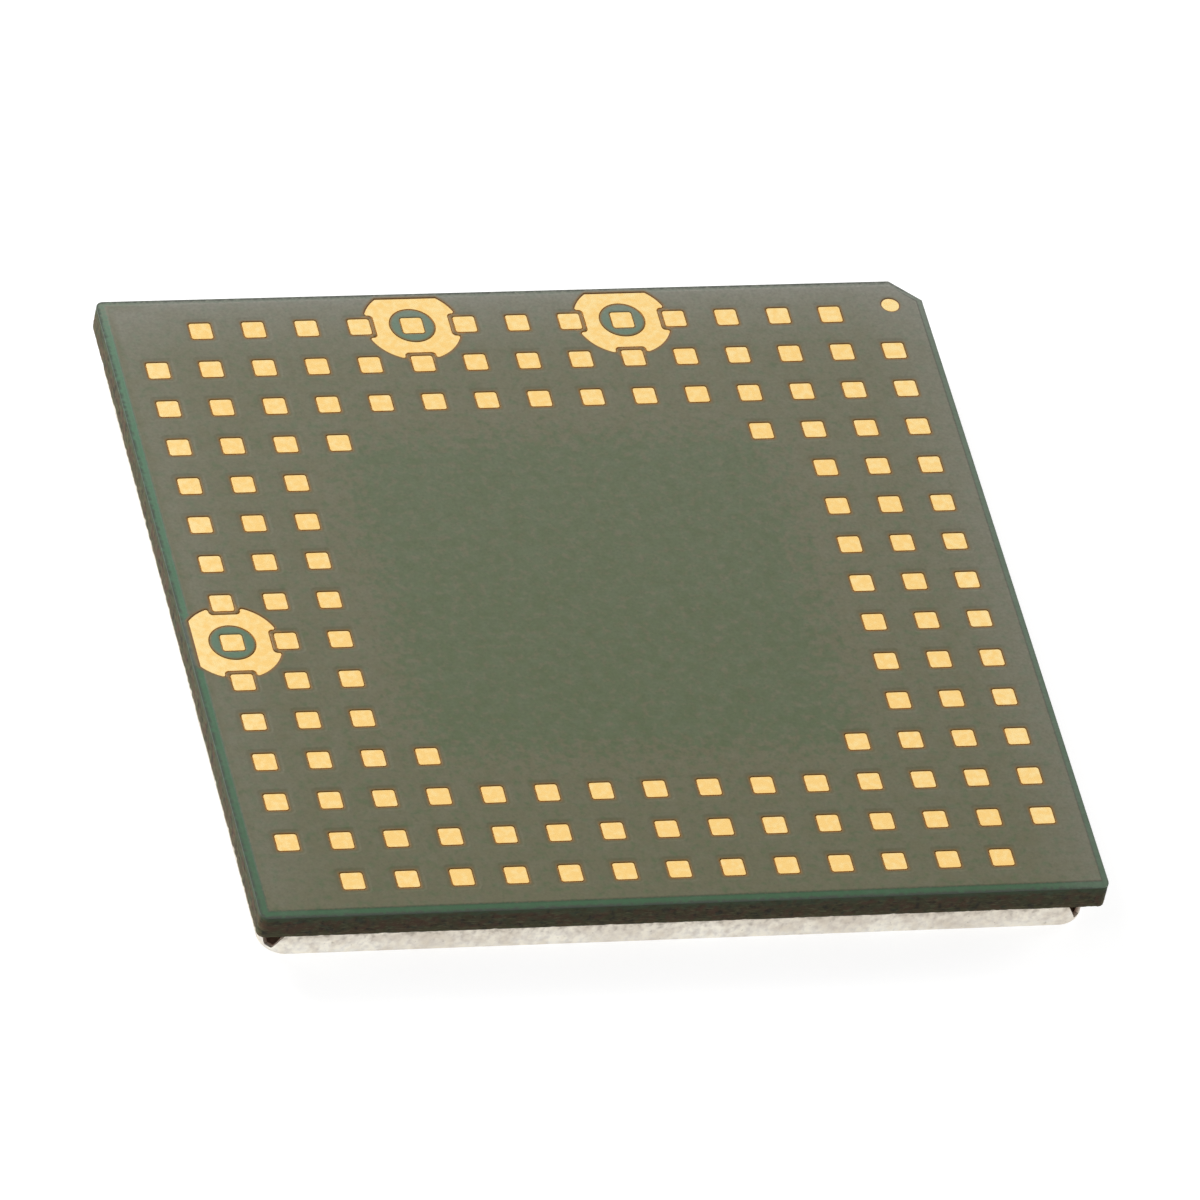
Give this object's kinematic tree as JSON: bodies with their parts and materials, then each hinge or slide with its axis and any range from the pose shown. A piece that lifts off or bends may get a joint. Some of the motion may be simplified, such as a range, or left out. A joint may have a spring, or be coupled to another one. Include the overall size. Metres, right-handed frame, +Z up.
{
  "type": "cellular module",
  "caption": "Square land-grid radio module: circuit board with gold solder lands and antenna ground lands on one face, and a soldered sheet-metal shield can over the parts on the other.",
  "frame": {"origin": "on the resting plane under the middle of the board, at the outside of the shield lid", "axes": "+Z up through the solder lands, +X along the near board edge, +Y away from it; the index chamfer is at the +X +Y corner"},
  "size_m": [0.0282, 0.0282, 0.0022],
  "materials": {
    "laminate": "sawn glass-fibre edge",
    "copper": "bare foil under the mask",
    "mask": "satin olive solder mask, green where no copper lies under it",
    "gold": "immersion gold, satin",
    "shield": "tin-plated sheet, satin with reflow stains",
    "solder": "reflowed solder",
    "mould": "moulding compound",
    "ceramic": "fired ceramic with plated ends",
    "ferrite": "dark ferrite or glass-coated body"
  },
  "bodies": {
    "root": {"laminate": "laminate", "ground_pour": "copper", "pad_face_mask": "mask", "signal_lands": "gold", "antenna_feed_lands": "gold", "antenna_ground_lands": "gold", "index_dot": "gold", "part_face_mask": "mask", "shield_land": "solder", "shield_can": "shield", "shield_solder": "solder", "processor": "mould", "memory_chip": "mould", "power_manager": "mould", "rf_transceiver": "mould", "low_band_amplifier": "mould", "high_band_amplifier": "mould", "antenna_switch": "mould", "low_noise_amplifier": "mould", "duplexers": "ceramic", "receive_filters": "ceramic", "satellite_filter": "ceramic", "reference_oscillator": "ceramic", "clock_crystal": "ceramic", "power_inductors": "ferrite", "supply_capacitors": "ceramic", "bypass_capacitors": "ceramic", "matching_inductors": "ceramic", "resistors": "ferrite"}
  },
  "joints": []
}
